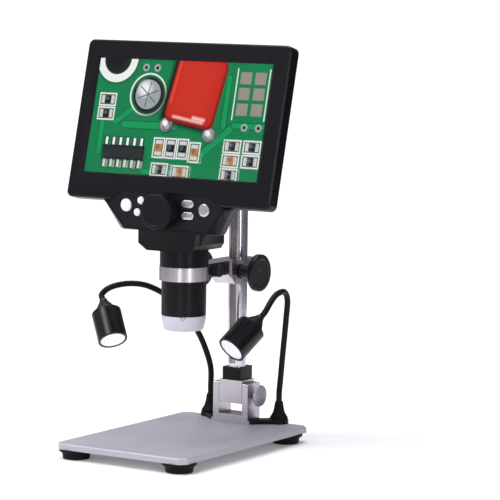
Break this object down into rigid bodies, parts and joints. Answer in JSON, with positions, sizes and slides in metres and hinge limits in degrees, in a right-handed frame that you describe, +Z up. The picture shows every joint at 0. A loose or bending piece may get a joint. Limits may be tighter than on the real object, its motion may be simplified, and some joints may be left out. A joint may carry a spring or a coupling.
{
  "type": "lcd digital microscope",
  "caption": "Digital microscope with a wide colour screen above the lens, rack-and-pinion focus on a tilting post, metal base plate and two bendable lamps.",
  "frame": {"origin": "where the optical axis meets the top face of the base plate", "axes": "+Z up along the optical axis, -Y towards the user and the screen's front, +X to the user's right; millimetre source, metres here"},
  "size_m": [0.1837, 0.1761, 0.301],
  "materials": {
    "plate": "fine matte powder coat",
    "rubber": "matt",
    "steel": "turned and plated",
    "aluminium": "satin anodised",
    "post": "polished",
    "rack": "cut teeth",
    "black_gloss": "gloss",
    "black_plastic": "satin",
    "moulding": "satin moulding",
    "brass": "turned",
    "barrel": "satin black anodised",
    "glass": "clear",
    "lcd": "display module",
    "board": "solder resist",
    "battery": "shrink sleeve",
    "tip": "matt silver",
    "white": "gloss",
    "silvery": "silvery gloss",
    "lamp_glass": "frosted"
  },
  "bodies": {
    "stand": {"base_plate": "plate", "rubber_feet": "rubber", "foot_screws": "steel", "tilt_bracket": "aluminium", "bracket_screws": "steel", "lamp_base": "black_plastic", "lamp_boots": "rubber"},
    "tilt_screw": {"tilt_knob": "aluminium", "tilt_stud": "steel"},
    "mast": {"tilt_block": "aluminium", "post_collar": "black_gloss", "post": "post", "rack": "rack", "post_cap": "black_plastic", "post_grub_screws": "steel"},
    "slider": {"carriage": "aluminium", "shaft_bushes": "black_plastic", "tension_screws": "steel"},
    "drive": {"focus_shaft": "steel", "pinion": "brass", "focus_knobs": "black_plastic"},
    "clamp_screw": {"clamp_knob": "black_plastic", "clamp_stud": "steel"},
    "head": {"front_housing": "moulding", "rear_housing": "moulding", "housing_screws": "steel", "control_panel": "moulding", "screen_glass": "glass", "lcd_panel": "lcd", "main_board": "board", "battery_pack": "battery", "button_board": "board", "upper_barrel": "barrel", "lower_barrel": "barrel", "barrel_nut": "steel", "lens_tip": "tip", "light_ring": "white", "sensor_board": "board"},
    "optics": {"lens_carrier": "black_plastic", "objective_lens": "glass"},
    "fine_focus": {"focus_wheel": "black_plastic", "wheel_shaft": "steel"},
    "left_round": {"left_round_button": "white"},
    "right_round": {"right_round_button": "silvery"},
    "upper_small": {"upper_small_button": "white"},
    "lower_small": {"lower_small_button": "white"},
    "upper_oval": {"upper_oval_button": "silvery"},
    "lower_oval": {"lower_oval_button": "silvery"},
    "left_arm": {"left_ferrule": "steel", "left_gooseneck": "rubber"},
    "right_arm": {"right_ferrule": "steel", "right_gooseneck": "rubber"},
    "left_lamp": {"left_lamp_neck": "black_plastic", "left_lamp_cup": "black_plastic", "left_lamp_lens": "lamp_glass", "left_lamp_light": "white"},
    "right_lamp": {"right_lamp_neck": "black_plastic", "right_lamp_cup": "black_plastic", "right_lamp_lens": "lamp_glass", "right_lamp_light": "white"}
  },
  "joints": [
    {"name": "post_tilt", "type": "hinge", "parent": "stand", "child": "mast", "pos_m": [0, 0.0735, 0.0215], "axis": [1, 0, 0], "range_deg": [-25, 8]},
    {"name": "tilt_knob_turn", "type": "hinge", "parent": "stand", "child": "tilt_screw", "pos_m": [0.0188, 0.0735, 0.0215], "axis": [1, 0, 0], "range_deg": [0, 360]},
    {"name": "focus_slide", "type": "slide", "parent": "mast", "child": "slider", "axis": [0, 0, 1], "range_m": [-0.045, 0.08]},
    {"name": "pinion_turn", "type": "hinge", "parent": "slider", "child": "drive", "pos_m": [0, 0.06251, 0.1165], "axis": [1, 0, 0], "range_deg": [-920, 520]},
    {"name": "clamp_turn", "type": "hinge", "parent": "slider", "child": "clamp_screw", "pos_m": [0.0117, 0.0268, 0.1205], "axis": [1, 0, 0], "range_deg": [0, 360]},
    {"name": "head_turn", "type": "hinge", "parent": "slider", "child": "head", "pos_m": [0, 0, 0.1256], "axis": [0, 0, 1], "range_deg": [-60, 60]},
    {"name": "wheel_turn", "type": "hinge", "parent": "head", "child": "fine_focus", "pos_m": [0, -0.0324, 0.168], "axis": [0, 1, 0], "range_deg": [-95, 95]},
    {"name": "lens_slide", "type": "slide", "parent": "head", "child": "optics", "axis": [0, 0, 1], "range_m": [-0.00596, 0.00596]},
    {"name": "left_round_press", "type": "slide", "parent": "head", "child": "left_round", "axis": [0, 1, 0], "range_m": [0, 0.0008], "stiffness_N_per_m": 500, "springref_m": -0.0008},
    {"name": "right_round_press", "type": "slide", "parent": "head", "child": "right_round", "axis": [0, 1, 0], "range_m": [0, 0.0008], "stiffness_N_per_m": 500, "springref_m": -0.0008},
    {"name": "upper_small_press", "type": "slide", "parent": "head", "child": "upper_small", "axis": [0, 1, 0], "range_m": [0, 0.0008], "stiffness_N_per_m": 500, "springref_m": -0.0008},
    {"name": "lower_small_press", "type": "slide", "parent": "head", "child": "lower_small", "axis": [0, 1, 0], "range_m": [0, 0.0008], "stiffness_N_per_m": 500, "springref_m": -0.0008},
    {"name": "upper_oval_press", "type": "slide", "parent": "head", "child": "upper_oval", "axis": [0, 1, 0], "range_m": [0, 0.0008], "stiffness_N_per_m": 500, "springref_m": -0.0008},
    {"name": "lower_oval_press", "type": "slide", "parent": "head", "child": "lower_oval", "axis": [0, 1, 0], "range_m": [0, 0.0008], "stiffness_N_per_m": 500, "springref_m": -0.0008},
    {"name": "left_arm_swivel", "type": "hinge", "parent": "stand", "child": "left_arm", "pos_m": [-0.031, 0.085, 0.008], "axis": [0, 0, 1], "range_deg": [-60, 15]},
    {"name": "right_arm_swivel", "type": "hinge", "parent": "stand", "child": "right_arm", "pos_m": [0.031, 0.085, 0.008], "axis": [0, 0, 1], "range_deg": [0, 60]},
    {"name": "left_lamp_nod", "type": "hinge", "parent": "left_arm", "child": "left_lamp", "pos_m": [-0.08906, 0.023, 0.09098], "axis": [-0.5736, -0.8192, 0], "range_deg": [-20, 20], "deforming": ["left_gooseneck"]},
    {"name": "right_lamp_nod", "type": "hinge", "parent": "right_arm", "child": "right_lamp", "pos_m": [0.04369, 0.03713, 0.08726], "axis": [-0.9563, 0.2924, 0], "range_deg": [-20, 20], "deforming": ["right_gooseneck"]}
  ],
  "couplings": [
    {"joint": "pinion_turn", "follows": "focus_slide", "rad_per_m": -200},
    {"joint": "wheel_turn", "follows": "lens_slide", "rad_per_m": -277.78}
  ]
}
